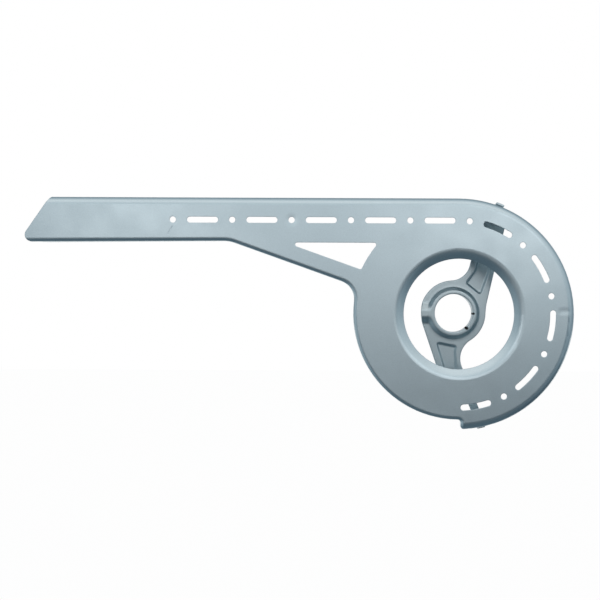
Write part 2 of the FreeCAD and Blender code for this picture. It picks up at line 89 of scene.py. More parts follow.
# Edges: paint drawn thin over them, and worn where the rounded normal turns away
EDGE_REACH, EDGE_SAMPLES = 0.8, 4       # reach in mm
EDGE_WORN, EDGE_SOUND = 0.72, 0.985     # cosines between the rounded and the face's own normal
PATCHES, PATCH_SPAN, PATCH_LEAST = (240.0, 4.0), (0.38, 0.62), 0.25
SHELL_WORN, SHELL_WEAR = (0.68, 0.75, 0.78), 0.3        # colour, and how much of it shows
BRACKET_WORN, BRACKET_WEAR = (0.62, 0.68, 0.71), 0.4

# Marks pressed into the shell's outer face, as (x, z) in mm
DIMPLE_PLACE, DIMPLE_RADIUS, DIMPLE_DEPTH = (-149.2, 82.8), 7.0, 0.22
SCRATCH_ENDS, SCRATCH_WIDTH, SCRATCH_DEPTH = ((-254.8, 76.7), (-258.8, 69.8)), 1.6, 0.06
DENT_ENDS, DENT_WIDTH, DENT_DEPTH = ((91.0, 2.8), (96.0, 2.8)), 9.0, 0.08
FACE_LEVEL = -31.0                      # Y; the marks are only in front of it

# Bracket, in mm: one sheet, drawn flat as (x, z), then raised, sunk and folded
SHEET = 2.0
PLATE_FRONT = -4.4                      # Y of the plate's front
EDGE_ROUND = 0.45                       # rounded cut edges
EDGE_STEPS = (0.0, 0.13, 0.5, 1.0)      # inset rows along the rounded edge, as shares of it

# Neck round the bore, with two notches in its front
BORE, LIP_ROUND, LIP_STEPS = 17.5, 0.7, 4
NECK_RADIUS, NECK_END_ROUND, NECK_FILLET = 19.1, 0.3, 1.0
NOTCHES = ((-2.0, 0.8), (-49.6, 1.35))  # direction in degrees and half width
NOTCH_REACH, NOTCH_DEPTH = 18.9, 6.0
# Painted shade in the notches: a near-black colour that stands in for the shadow deep inside them
NOTCH_SHADE_MIDDLE = 18.3                     # radius of the painted shade in the notches
NOTCH_SHADE_FULL, NOTCH_SHADE_SPREAD = 0.8, 0.4     # share of a notch that it fills, and how far it fades out
NOTCH_SHADE_COLOUR, NOTCH_SHADE_ROUGHNESS = (0.03, 0.035, 0.04), 0.75

# Seat ring, part of whose raise comes as a wide, shallow swell
SEAT_RAISE, SEAT_SWELL = 3.6, 0.35
SEAT_FLAT, SEAT_FOOT = 20.4, 24.5       # radii where its slope starts and ends
SWELL_START, SWELL_FOOT = 18.4, 27.4

# Ridge from the seat ring back to the edge: crest and foot of either slope, as Z
RIDGE_RAISE = 3.1
RIDGE_UPPER = (1.8, 10.6)
RIDGE_LOWER, RIDGE_LOWER_ROUND = (-2.2, -10.8), 0.4

# Sunk panels in the arms
PANELS_BEYOND = 29.5                    # radius outside which they lie
PANEL_DEPTH, PANEL_SLOPE = 1.8, 2.6
PANEL_OUT = 1.4                         # the slope starts this far outside the panel's line
PANEL_SHIFT = 0.5                       # the panel above the axis lies this much further along X

# Tabs, folded back through the shell's slits
TABS = ((67.7, 80.0), (-77.0, 88.0))    # direction and fold, in degrees
FOLD_START, FOLD_FRONT_RADIUS = 103.5, 1.0
TAB_STRAIGHT, TAB_CORNER, TAB_CORNER_STEPS = 10.0, 1.0, 4
TAB_HALF = 2.8                          # half width of the rows of points over a fold

# Y share of a face's normal: turned to the front, fully so, on a slope, and on a cut edge
FRONT, FULL_FRONT, SLOPES, CUT = -0.5, -0.99, (-0.95, -0.5), 0.1

# Points of the bracket's mesh
OUTLINE_STEP = 0.7
RING_SIDES = 180
RING_TIGHT, RING_START, RING_STEP = 0.13, 0.5, 0.4   # rings: the first two out from the neck, step
GRID_STEP, COARSE_EVERY = 0.5, 3        # every third point is kept where the sheet is flat
RING_CLEAR, EDGE_CLEAR = 0.4, 0.35      # room that the grid leaves to the rings and the edge
SLOPE_LOOK = 0.9                        # how far round a point a slope is looked for
FOLD_ROWS, FOLD_COLUMNS = 9, 8
LEVEL_ENOUGH, SAME_PLACE = 0.01, 1e-5   # differences in mm that don't count
SHARP_ANGLE = 50.0                      # degrees


def new_node(tree, kind, **settings):
    """Node of a kind, with its settings."""
    node = tree.nodes.new(kind)
    for name, value in settings.items():
        setattr(node, name, value)
    return node


def feed(tree, value, socket):
    """Link a socket to another one, or set it to a constant."""
    if isinstance(value, bpy.types.NodeSocket):
        tree.links.new(value, socket)
    else:
        socket.default_value = value


def math_node(tree, operation, first, second=None, third=None):
    """Result of a sum with one to three values."""
    node = new_node(tree, "ShaderNodeMath", operation=operation)
    for index, value in enumerate((first, second, third)):
        if value is not None:
            feed(tree, value, node.inputs[index])
    return node.outputs[0]


def vector_node(tree, operation, first, second):
    """Node for a sum with two vectors."""
    node = new_node(tree, "ShaderNodeVectorMath", operation=operation)
    feed(tree, first, node.inputs[0])
    feed(tree, second, node.inputs[1])
    return node


def scaled(tree, vector, scale):
    """Vector times a number."""
    node = new_node(tree, "ShaderNodeVectorMath", operation="SCALE")
    feed(tree, vector, node.inputs[0])
    feed(tree, scale, node.inputs["Scale"])
    return node.outputs["Vector"]


def added(tree, first, second):
    """Sum of two vectors."""
    return vector_node(tree, "ADD", first, second).outputs["Vector"]


def parts_of(tree, vector):
    """X, Y and Z of a vector."""
    node = new_node(tree, "ShaderNodeSeparateXYZ")
    feed(tree, vector, node.inputs[0])
    return node.outputs


def range_node(tree, value, low, high, to_low=0.0, to_high=1.0, kind="SMOOTHSTEP"):
    """Value carried from one range to another, held at its ends."""
    node = new_node(tree, "ShaderNodeMapRange", interpolation_type=kind)
    feed(tree, value, node.inputs["Value"])
    for name, limit in (("From Min", low), ("From Max", high), ("To Min", to_low), ("To Max", to_high)):
        feed(tree, limit, node.inputs[name])
    return node.outputs["Result"]


def stop_ramp(tree, value, stops, low, high):
    """Level by linear steps between the stops of a value that runs from low to high."""
    node = new_node(tree, "ShaderNodeValToRGB")
    ramp = node.color_ramp
    ramp.interpolation = "LINEAR"
    while len(ramp.elements) < len(stops):
        ramp.elements.new(0.5)
    for element, (at, level) in zip(ramp.elements, stops):
        element.position = (at - low) / (high - low)
        element.color = (level, level, level, 1.0)
    feed(tree, range_node(tree, value, low, high, kind="LINEAR"), node.inputs["Fac"])
    return node.outputs["Color"]


def mix_colour(tree, share, first, second):
    """First colour, and the second by its share; a colour is a socket or three numbers."""
    node = new_node(tree, "ShaderNodeMix", data_type="RGBA")
    feed(tree, share, node.inputs[0])
    for socket, colour in ((node.inputs[6], first), (node.inputs[7], second)):
        feed(tree, (*colour, 1.0) if isinstance(colour, tuple) else colour, socket)
    return node.outputs[2]


def noise(tree, scale, detail):
    """Noise over the object, in its own coordinates."""
    node = new_node(tree, "ShaderNodeTexNoise")
    feed(tree, new_node(tree, "ShaderNodeTexCoord").outputs["Object"], node.inputs["Vector"])
    feed(tree, scale, node.inputs["Scale"])
    feed(tree, detail, node.inputs["Detail"])
    return node.outputs["Fac"]


def unit(degrees):
    """Unit vector (x, z) that many degrees up from forward."""
    turn = math.radians(degrees)
    return np.array([math.cos(turn), math.sin(turn)])


def heading_vector(azimuth, elevation):
    """Unit vector from the object toward the camera's side, turned right and up by degrees."""
    turn, rise = math.radians(azimuth), math.radians(elevation)
    return (math.sin(turn) * math.cos(rise), -math.cos(turn) * math.cos(rise), math.sin(rise))


def shown_directly(tree, mirror_share=1.0):
    """1 for rays that show the background: straight from the camera, or by mirror or glass."""
    path = new_node(tree, "ShaderNodeLightPath").outputs
    mirrored = math_node(tree, "MAXIMUM", path["Is Glossy Ray"], path["Is Transmission Ray"])
    mirrored = math_node(tree, "MULTIPLY", mirrored, mirror_share)
    return math_node(tree, "MAXIMUM", path["Is Camera Ray"], mirrored)


def degrees_from_viewer(tree, sideways, toward_viewer):
    """Angle of a heading from the viewer's direction, by its two parts."""
    return math_node(tree, "MULTIPLY", math_node(tree, "ARCTAN2", sideways, toward_viewer),
                     180.0 / math.pi)


def sky_gradient(tree, heading):
    """Light of the sky: a gradient about the X axis that gives way to one toward each side."""
    x, y, z = parts_of(tree, heading)
    toward_viewer = math_node(tree, "MULTIPLY", y, -1.0)
    aside = math_node(tree, "ABSOLUTE", x)
    around = degrees_from_viewer(tree, z, toward_viewer)
    turned = degrees_from_viewer(tree, aside, toward_viewer)
    middle = range_node(tree, aside, SIDE_START, SIDE_FULL, 1.0, 0.0)
    sky = scaled(tree, stop_ramp(tree, around, SKY, -180.0, 180.0), middle)
    sides = ((1.0, RIGHT_LEVELS, RIGHT_FALL), (-1.0, LEFT_LEVELS, LEFT_FALL))
    for direction, levels, (fall_start, fall_end, left_over) in sides:
        share = range_node(tree, math_node(tree, "MULTIPLY", x, direction), SIDE_START, SIDE_FULL)
        fall = range_node(tree, turned, fall_start, fall_end, 1.0, left_over, "LINEAR")
        level = range_node(tree, z, SIDE_LOW, SIDE_HIGH, *levels)
        level = math_node(tree, "MULTIPLY", level, math_node(tree, "MULTIPLY", share, fall))
        sky = added(tree, sky, level)
    cooled = new_node(tree, "ShaderNodeCombineXYZ")
    for level, power, socket in zip(parts_of(tree, sky), SKY_COOLING, cooled.inputs):
        feed(tree, math_node(tree, "POWER", level, power), socket)
    return cooled.outputs[0]


def make_world():
    """White backdrop; a sky that is bright overhead and dark below, with soft boxes."""
    world = bpy.data.worlds.new("studio")
    bpy.context.scene.world = world
    world.use_nodes = True
    tree = world.node_tree
    tree.nodes.clear()
    heading = new_node(tree, "ShaderNodeTexCoord").outputs["Generated"]
    sky = sky_gradient(tree, heading)
    for azimuth, elevation, level in SOFT_BOXES:
        box = heading_vector(azimuth, elevation)
        apart = vector_node(tree, "DISTANCE", heading, box).outputs["Value"]
        glow = range_node(tree, apart, 0.0, BOX_WIDTH, level, 0.0)
        sky = added(tree, sky, scaled(tree, BOX_COLOUR, glow))
    behind = range_node(tree, parts_of(tree, heading)["Y"], BACKDROP_START, BACKDROP_FULL)
    colour = mix_colour(tree, shown_directly(tree, behind), sky, (1.0, 1.0, 1.0))
    background = new_node(tree, "ShaderNodeBackground")
    feed(tree, colour, background.inputs["Color"])
    output = new_node(tree, "ShaderNodeOutputWorld")
    feed(tree, background.outputs[0], output.inputs["Surface"])


def make_camera():
    """Camera of the photograph."""
    data = bpy.data.cameras.new("camera")
    data.sensor_width = CAMERA_SENSOR
    data.lens = CAMERA_LENS
    data.shift_y = CAMERA_SHIFT
    data.clip_start, data.clip_end = CAMERA_CLIP
    camera = bpy.data.objects.new("camera", data)
    bpy.context.scene.collection.objects.link(camera)
    camera.location = CAMERA_PLACE
    camera.rotation_euler = (math.radians(90.0), -math.radians(CAMERA_ROLL), 0.0)
    bpy.context.scene.camera = camera


def floor_paper():
    """White paper: its own tone in the light it gives back, near white where it is seen."""
    material = bpy.data.materials.new("floor_paper")
    material.use_nodes = True
    tree = material.node_tree
    tree.nodes.clear()
    diffuse = new_node(tree, "ShaderNodeBsdfDiffuse")
    feed(tree, (FLOOR_TONE, FLOOR_TONE, FLOOR_TONE, 1.0), diffuse.inputs["Color"])
    glow = new_node(tree, "ShaderNodeEmission")
    mixed = new_node(tree, "ShaderNodeMixShader")
    feed(tree, math_node(tree, "MULTIPLY", shown_directly(tree), FLOOR_WHITE), mixed.inputs[0])
    feed(tree, diffuse.outputs[0], mixed.inputs[1])
    feed(tree, glow.outputs[0], mixed.inputs[2])
    output = new_node(tree, "ShaderNodeOutputMaterial")
    feed(tree, mixed.outputs[0], output.inputs["Surface"])
    return material


def make_floor():
    """Pale floor under and behind the object."""
    corners = ((-FLOOR_HALF, FLOOR_FRONT), (FLOOR_HALF, FLOOR_FRONT),
               (FLOOR_HALF, FLOOR_BACK), (-FLOOR_HALF, FLOOR_BACK))
    mesh = bpy.data.meshes.new("floor")
    mesh.from_pydata([(x, y, FLOOR_LEVEL) for x, y in corners], [], [(0, 1, 2, 3)])
    mesh.materials.append(floor_paper())
    floor = bpy.data.objects.new("floor", mesh)
    bpy.context.scene.collection.objects.link(floor)


def new_group(name, inputs, outputs):
    """Shader node group with its named inputs and outputs, and its input and output nodes."""
    group = bpy.data.node_groups.new(name, "ShaderNodeTree")
    for sockets, side in ((inputs, "INPUT"), (outputs, "OUTPUT")):
        for label, kind in sockets.items():
            group.interface.new_socket(label, in_out=side, socket_type="NodeSocket" + kind)
    return group, new_node(group, "NodeGroupInput").outputs, new_node(group, "NodeGroupOutput").inputs


def paint_group():
    """Colour, roughness and height of metallic paint: tone, flakes and orange peel."""
    group, given, made = new_group(
        "metallic_paint", {"Light": "Color", "Dark": "Color", "Roughness": "Float"},
        {"Colour": "Color", "Roughness": "Float", "Height": "Float"})
    tone = range_node(group, noise(group, *CLOUDS), *CLOUD_SPAN)
    base = mix_colour(group, tone, given["Light"], given["Dark"])
    flakes = new_node(group, "ShaderNodeTexVoronoi")
    feed(group, new_node(group, "ShaderNodeTexCoord").outputs["Object"], flakes.inputs["Vector"])
    feed(group, FLAKES, flakes.inputs["Scale"])
    sparkle = parts_of(group, flakes.outputs["Color"])["X"]
    level = range_node(group, sparkle, 0.0, 1.0, 1.0 - FLAKE_CONTRAST, 1.0 + FLAKE_CONTRAST, "LINEAR")
    feed(group, scaled(group, base, level), made["Colour"])
    smear = noise(group, *SMEARS)
    drift = range_node(group, smear, *SMEAR_SPAN, -ROUGHNESS_DRIFT, ROUGHNESS_DRIFT)
    feed(group, math_node(group, "ADD", given["Roughness"], drift), made["Roughness"])
    peel, wave = noise(group, *PEEL), noise(group, *WAVES)
    feed(group, math_node(group, "MULTIPLY_ADD", wave, WAVE_SHARE, peel), made["Height"])
    return group


def edge_group():
    """Normal rounded at the edges over a reach, and a patchy mask of where it turns."""
    group, given, made = new_group(
        "edge_wear", {"Reach": "Float", "Amount": "Float"}, {"Mask": "Float", "Normal": "Vector"})
    rounded = new_node(group, "ShaderNodeBevel", samples=EDGE_SAMPLES)
    feed(group, given["Reach"], rounded.inputs["Radius"])
    feed(group, rounded.outputs["Normal"], made["Normal"])
    own = new_node(group, "ShaderNodeNewGeometry").outputs["Normal"]
    agree = vector_node(group, "DOT_PRODUCT", rounded.outputs["Normal"], own).outputs["Value"]
    edge = range_node(group, agree, EDGE_WORN, EDGE_SOUND, 1.0, 0.0)
    patches = range_node(group, noise(group, *PATCHES), *PATCH_SPAN, PATCH_LEAST, 1.0)
    mask = math_node(group, "MULTIPLY", math_node(group, "MULTIPLY", edge, patches), given["Amount"])
    feed(group, mask, made["Mask"])
    return group


def place_in_mm(tree):
    """Place on the object in mm: as seen from the side, a vector of X and Z, and its Y."""
    coords = new_node(tree, "ShaderNodeTexCoord").outputs["Object"]
    x, y, z = parts_of(tree, scaled(tree, coords, 1.0 / MM))
    across = new_node(tree, "ShaderNodeCombineXYZ")
    feed(tree, x, across.inputs[0])
    feed(tree, z, across.inputs[1])
    return across.outputs[0], y


def near_spot(tree, place, middle, radius, full_radius=0.0):
    """1 within the full radius of a spot, falling to 0 at the radius."""
    apart = vector_node(tree, "DISTANCE", place, (*middle, 0.0)).outputs["Value"]
    return range_node(tree, apart, full_radius, radius, 1.0, 0.0)


def near_line(tree, place, ends, width):
    """1 on the line between two ends, falling to 0 over half the width."""
    start, end = (Vector((*spot, 0.0)) for spot in ends)
    run = end - start
    offset = vector_node(tree, "SUBTRACT", place, start).outputs["Vector"]
    share = vector_node(tree, "DOT_PRODUCT", offset, run / run.length_squared).outputs["Value"]
    share = range_node(tree, share, 0.0, 1.0, kind="LINEAR")
    apart = vector_node(tree, "DISTANCE", offset, scaled(tree, run, share)).outputs["Value"]
    return range_node(tree, apart, 0.0, width / 2.0, 1.0, 0.0)


def shell_marks(tree):
    """Height in mm of the dimple, the dent and the scratch in the shell's outer face."""
    place, y = place_in_mm(tree)
    dimple = near_spot(tree, place, DIMPLE_PLACE, DIMPLE_RADIUS)
    dent = near_line(tree, place, DENT_ENDS, DENT_WIDTH)
    scratch = near_line(tree, place, SCRATCH_ENDS, SCRATCH_WIDTH)
    height = math_node(tree, "MULTIPLY", dimple, -DIMPLE_DEPTH)
    height = math_node(tree, "MULTIPLY_ADD", dent, -DENT_DEPTH, height)
    height = math_node(tree, "MULTIPLY_ADD", scratch, -SCRATCH_DEPTH, height)
    return math_node(tree, "MULTIPLY", height, math_node(tree, "LESS_THAN", y, FACE_LEVEL))


def notch_painted_shade(tree):
    """Mask of the painted shade in the two notches of the neck: a dark colour that stands in for their
    shadow.
    """
    place = place_in_mm(tree)[0]
    mask = 0.0
    for direction, half in NOTCHES:
        middle = NOTCH_SHADE_MIDDLE * unit(direction)
        spot = near_spot(tree, place, middle, half + NOTCH_SHADE_SPREAD, NOTCH_SHADE_FULL * half)
        mask = math_node(tree, "MAXIMUM", spot, mask)
    return mask


def make_paint(name, groups, tones, metal, roughness, worn):
    """Metallic paint; worn is the colour of its worn edges, and how much of it shows."""
    material = bpy.data.materials.new(name)
    material.use_nodes = True
    tree = material.node_tree
    shader = tree.nodes["Principled BSDF"]
    paint = new_node(tree, "ShaderNodeGroup", node_tree=groups["paint"])
    feed(tree, (*tones[0], 1.0), paint.inputs["Light"])
    feed(tree, (*tones[1], 1.0), paint.inputs["Dark"])
    feed(tree, roughness, paint.inputs["Roughness"])
    edge = new_node(tree, "ShaderNodeGroup", node_tree=groups["edge"])
    feed(tree, EDGE_REACH * MM, edge.inputs["Reach"])
    feed(tree, worn[1], edge.inputs["Amount"])
    colour = mix_colour(tree, edge.outputs["Mask"], paint.outputs["Colour"], worn[0])
    feed(tree, colour, shader.inputs["Base Color"])
    feed(tree, paint.outputs["Roughness"], shader.inputs["Roughness"])
    feed(tree, metal, shader.inputs["Metallic"])
    feed(tree, COAT, shader.inputs["Coat Weight"])
    feed(tree, COAT_ROUGHNESS, shader.inputs["Coat Roughness"])
    peel = new_node(tree, "ShaderNodeBump")
    feed(tree, PEEL_STRENGTH, peel.inputs["Strength"])
    feed(tree, PEEL_DEPTH * MM, peel.inputs["Distance"])
    feed(tree, paint.outputs["Height"], peel.inputs["Height"])
    feed(tree, edge.outputs["Normal"], peel.inputs["Normal"])
    feed(tree, peel.outputs["Normal"], shader.inputs["Normal"])
    return material


def add_marks(material):
    """Press the shell's marks into a paint, over its own normal."""
    tree = material.node_tree
    normal = tree.nodes["Principled BSDF"].inputs["Normal"]
    pressed = new_node(tree, "ShaderNodeBump")
    feed(tree, MM, pressed.inputs["Distance"])
    feed(tree, shell_marks(tree), pressed.inputs["Height"])
    feed(tree, normal.links[0].from_socket, pressed.inputs["Normal"])
    feed(tree, pressed.outputs["Normal"], normal)


def add_painted_shade(material):
    """Darken and dull a paint in the notches: painted shade that stands in for their shadow."""
    tree = material.node_tree
    shader = tree.nodes["Principled BSDF"].inputs
    mask = notch_painted_shade(tree)
    colour = shader["Base Color"].links[0].from_socket
    rough = shader["Roughness"].links[0].from_socket
    # painted shade: near-black colour mixed in over the notches
    feed(tree, mix_colour(tree, mask, colour, NOTCH_SHADE_COLOUR), shader["Base Color"])
    duller = math_node(tree, "MULTIPLY_ADD", mask, NOTCH_SHADE_ROUGHNESS - BRACKET_ROUGHNESS, rough)
    feed(tree, duller, shader["Roughness"])


def ease(share, round_share=0.25):
    """Slope from 0 to 1 that is straight but for a round at either end."""
    share = np.clip(share, 0.0, 1.0)
    full = 2.0 * round_share * (1.0 - round_share)
    straight = (share - round_share / 2.0) / (1.0 - round_share)
    return np.where(share < round_share, share ** 2 / full,
                    np.where(share > 1.0 - round_share, 1.0 - (1.0 - share) ** 2 / full, straight))


def rounded_off(distance, radius):
    """How far a rounded edge drops, by the distance in from it: the radius there, then less."""
    gap = np.clip(radius - distance, 0.0, radius)
    return radius - np.sqrt(np.maximum(radius ** 2 - gap ** 2, 0.0))


def arc_points(centre, start, sweep, count):
    """Points after start round a centre, as far as the end of the sweep in degrees."""
    x, z = start[0] - centre[0], start[1] - centre[1]
    turns = [math.radians(sweep) * i / count for i in range(1, count + 1)]
    return [(centre[0] + x * math.cos(turn) - z * math.sin(turn),
             centre[1] + x * math.sin(turn) + z * math.cos(turn)) for turn in turns]


def line_points(start, end, step):
    """Points after start on the line to end, about a step apart."""
    count = max(1, round(math.dist(start, end) / step))
    return [(start[0] + (end[0] - start[0]) * i / count, start[1] + (end[1] - start[1]) * i / count)
            for i in range(1, count + 1)]


def bend_length(fold):
    """Length of a tab's bend in the flat sheet; the middle of the sheet keeps its length."""
    return (FOLD_FRONT_RADIUS + SHEET / 2.0) * math.radians(fold)


def tab_round(start, end, tab):
    """Points round a tab's end, from one end of its fold line to the other."""
    direction, fold = tab
    ahead = unit(direction)
    width = math.dist(start, end)
    across = (np.array(end) - start) / width
    bend = bend_length(fold)
    shoulder = bend + TAB_STRAIGHT - TAB_CORNER

    def place(along, over):
        """Point that far ahead of the start, and that far over toward the end."""
        return tuple(start + ahead * along + across * over)

    points = line_points(start, place(bend, 0.0), OUTLINE_STEP / 2.0)
    points += line_points(points[-1], place(shoulder, 0.0), OUTLINE_STEP)
    points += arc_points(place(shoulder, TAB_CORNER), points[-1], 90.0, TAB_CORNER_STEPS)
    points += line_points(points[-1], place(shoulder + TAB_CORNER, width - TAB_CORNER), OUTLINE_STEP)
    points += arc_points(place(shoulder, width - TAB_CORNER), points[-1], 90.0, TAB_CORNER_STEPS)
    points += line_points(points[-1], place(bend, width), OUTLINE_STEP)
    return points + line_points(points[-1], end, OUTLINE_STEP / 2.0)


def cad_edges(node):
    """Edges of a CAD node, in mm, with the Y share of the normals of the faces that meet there."""
    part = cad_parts[node]
    turned = part.matrix_world.to_3x3()
    places = [tuple(round(v / MM, 3) for v in part.matrix_world @ vertex.co)
              for vertex in part.data.vertices]
    edges = {}
    for face in part.data.polygons:
        corners = [places[i] for i in face.vertices]
        facing = (turned @ face.normal).normalized().y
        for one, two in zip(corners, corners[1:] + corners[:1]):
            edges.setdefault(frozenset((one, two)), []).append(facing)
    return {tuple(edge): sorted(facing) for edge, facing in edges.items() if len(edge) == 2}


def linked(edges):
    """Chains of edges as lists of (x, z), each anticlockwise seen from the front."""
    neighbours = {}
    for one, two in edges:
        neighbours.setdefault(one, []).append(two)
        neighbours.setdefault(two, []).append(one)
    chains = []
    while neighbours:
        here = min(neighbours, key=lambda place: (len(neighbours[place]), place))
        chain = [here]
        while neighbours.get(here):
            following = neighbours[here].pop()
            neighbours[following].remove(here)
            if not neighbours[here]:
                del neighbours[here]
            here = following
            chain.append(here)
        neighbours.pop(here, None)
        flat = [(x, z) for x, y, z in chain]
        swept = sum(a[0] * b[1] - b[0] * a[1] for a, b in zip(flat, flat[1:]))
        chains.append(flat if swept > 0.0 else flat[::-1])
    return chains


def beyond_fold(place):
    """How far an (x, z) lies beyond the nearest fold line, and which tab's it is."""
    pasts = [unit(direction) @ place - FOLD_START for direction, fold in TABS]
    return max(pasts), TABS[pasts.index(max(pasts))]


def plate_outline():
    """Outline of the flat sheet: the CAD plate's edge, with each tab laid out straight."""
    edges = [edge for edge, facing in cad_edges("bracket").items()
             if facing[0] < FRONT and abs(facing[-1]) < CUT
             and all(math.hypot(x, z) > SEAT_FOOT and beyond_fold((x, z))[0] < LEVEL_ENOUGH
                     for x, y, z in edge)]
    corners = [place for chain in linked(edges) for place in chain]
    points = []
    for one, two in zip(corners, corners[1:] + corners[:1]):
        past, tab = beyond_fold(one)
        if abs(past) < LEVEL_ENOUGH and abs(beyond_fold(two)[0]) < LEVEL_ENOUGH:
            points += tab_round(one, two, tab)
        elif one != two:
            points += line_points(one, two, OUTLINE_STEP)
    return np.array(points)


def panel_outlines():
    """Outlines of the sunk panels, where the CAD plate's flat front turns into their slopes."""
    edges = [edge for edge, facing in cad_edges("bracket").items()
             if facing[0] < FULL_FRONT and SLOPES[0] < facing[-1] < SLOPES[1]
             and all(abs(y - PLATE_FRONT) < LEVEL_ENOUGH and math.hypot(x, z) > PANELS_BEYOND
                     for x, y, z in edge)]
    panels = [np.array(chain[:-1]) for chain in linked(edges)]
    for panel in panels:
        panel[:, 0] += PANEL_SHIFT if panel[:, 1].mean() > 0.0 else 0.0
    return panels


def moved_in(outline, distance):
    """Outline moved to its left by a distance, with mitred corners."""
    ahead = np.roll(outline, -1, axis=0) - outline
    ahead /= np.linalg.norm(ahead, axis=1)[:, None]
    left = np.stack([-ahead[:, 1], ahead[:, 0]], axis=1)
    both = left + np.roll(left, 1, axis=0)
    scale = 2.0 / np.maximum((both ** 2).sum(axis=1), 1.0)
    return outline + both * scale[:, None] * distance


def distance_inside(points, outline):
    """Distance of each point from an outline, positive inside it."""
    nearest = np.full(len(points), np.inf)
    crossings = np.zeros(len(points), dtype=int)
    x, z = points[:, 0], points[:, 1]
    for start, end in zip(outline, np.roll(outline, -1, axis=0)):
        run = end - start
        share = np.clip(((points - start) @ run) / (run @ run), 0.0, 1.0)
        nearest = np.minimum(nearest, np.linalg.norm(points - start - share[:, None] * run, axis=1))
        if start[1] != end[1]:
            spans = (start[1] > z) != (end[1] > z)
            crossings += spans & (x < start[0] + (z - start[1]) * run[0] / run[1])
    return np.where(crossings % 2 == 1, nearest, -nearest)


def sheet_height(points, panels):
    """How far the sheet stands in front of the plate: seat ring and ridge up, panels down."""
    x, z = points[:, 0], points[:, 1]
    radius = np.hypot(x, z)
    seat = ease((SEAT_FOOT - radius) / (SEAT_FOOT - SEAT_FLAT))
    swell = ease((SWELL_FOOT - radius) / (SWELL_FOOT - SWELL_START))
    raised = (SEAT_RAISE - SEAT_SWELL) * seat + SEAT_SWELL * swell
    above, below = ((z - foot) / (crest - foot) for crest, foot in (RIDGE_UPPER, RIDGE_LOWER))
    ridge = np.where(x < 0.0, ease(above) * ease(below, RIDGE_LOWER_ROUND), 0.0)
    height = raised + RIDGE_RAISE * ridge * (1.0 - raised / SEAT_RAISE)
    for panel in panels:
        height -= PANEL_DEPTH * ease((distance_inside(points, panel) + PANEL_OUT) / PANEL_SLOPE)
    return height


def folded(points, height, depth):
    """Places in the frame of points of the flat sheet, at a depth behind its front."""
    places = np.stack([points[:, 0], PLATE_FRONT - height + depth, points[:, 1]], axis=1)
    for direction, fold in TABS:
        ahead = unit(direction)
        past = points @ ahead - FOLD_START
        swept = np.minimum(past / (FOLD_FRONT_RADIUS + SHEET / 2.0), math.radians(fold))
        rest = np.maximum(past - bend_length(fold), 0.0)
        reach = (FOLD_FRONT_RADIUS + depth) * np.sin(swept) + rest * np.cos(swept)
        level = (FOLD_FRONT_RADIUS + depth) * np.cos(swept) - rest * np.sin(swept)
        moved = np.stack([points[:, 0] + (reach - past) * ahead[0],
                          PLATE_FRONT - FOLD_FRONT_RADIUS + level,
                          points[:, 1] + (reach - past) * ahead[1]], axis=1)
        places = np.where((past > 0.0)[:, None], moved, places)
    return places


def ring_radii():
    """Radii of the rings of points from the neck to beyond the foot of the seat's slope."""
    steps = np.arange(NECK_RADIUS + RING_START, SEAT_FOOT + RING_STEP, RING_STEP)
    return [NECK_RADIUS, NECK_RADIUS + RING_TIGHT, *steps]


def fold_points(tab):
    """Rows of points over a tab's bend."""
    direction, fold = tab
    ahead, across = unit(direction), unit(direction + 90.0)
    return [ahead * (FOLD_START + along) + across * over
            for along in np.linspace(0.0, bend_length(fold), FOLD_ROWS)
            for over in np.linspace(-TAB_HALF, TAB_HALF, FOLD_COLUMNS)]


def grid_points(outline, panels):
    """Inside points: close together where the sheet slopes or folds, apart where it is flat."""
    low, high = outline.min(axis=0), outline.max(axis=0)
    places, coarse = [], []
    for row, z in enumerate(np.arange(low[1], high[1], GRID_STEP * math.sqrt(0.75))):
        columns = np.arange(low[0] + GRID_STEP / 2.0 * (row % 2), high[0], GRID_STEP)
        places += [(x, z) for x in columns]
        coarse += [row % COARSE_EVERY == 0 and i % COARSE_EVERY == 0 for i in range(len(columns))]
    places, coarse = np.array(places), np.array(coarse)
    clear = np.hypot(*places.T) > ring_radii()[-1] + RING_CLEAR
    places, coarse = places[clear], coarse[clear]
    clear = distance_inside(places, outline) > EDGE_ROUND + EDGE_CLEAR
    places, coarse = places[clear], coarse[clear]
    shifts = [(0.0, 0.0), *(SLOPE_LOOK * unit(turn) for turn in (0.0, 90.0, 180.0, 270.0))]
    heights = [sheet_height(places + shift, panels) for shift in shifts]
    kept = coarse | (np.ptp(heights, axis=0) > LEVEL_ENOUGH)
    for direction, fold in TABS:
        past = places @ unit(direction) - FOLD_START
        kept &= (past < -GRID_STEP) | (past > bend_length(fold) + GRID_STEP)
    return np.concatenate([places[kept], *(fold_points(tab) for tab in TABS)])


def closed_run(first, count):
    """Edges that join consecutive numbers and close the loop."""
    return [(first + i, first + (i + 1) % count) for i in range(count)]


def flat_sheet(outline, panels, circle):
    """The flat sheet from its outline to the neck, as points and triangles.

    The numbers of the points along the outline and round the neck come with them, in order.
    """
    loops = [moved_in(outline, EDGE_ROUND * step) for step in EDGE_STEPS]
    rings = [circle * radius for radius in ring_radii()]
    points = np.concatenate([*loops, *rings, grid_points(outline, panels)])
    count, ring_start = len(outline), len(outline) * len(loops)
    edges = closed_run(ring_start, RING_SIDES)
    for first in range(0, ring_start, count):
        edges += closed_run(first, count)
    found = delaunay_2d_cdt([Vector(point) for point in points.tolist()], edges, [], 0, SAME_PLACE)
    points = np.array([tuple(point) for point in found[0]])
    number = {source: index for index, sources in enumerate(found[3]) for source in sources}
    rim = [number[i] for i in range(count)]
    neck = [number[ring_start + i] for i in range(RING_SIDES)]
    edge_sets = set(rim), set(neck)
    triangles = [face for face in found[2] if not any(set(face) <= numbers for numbers in edge_sets)]
    return points, triangles, rim, neck


def notch_spans():
    """Middle and half of the span of each notch, in degrees."""
    return [(middle, math.degrees(math.asin(half / NOTCH_REACH))) for middle, half in NOTCHES]


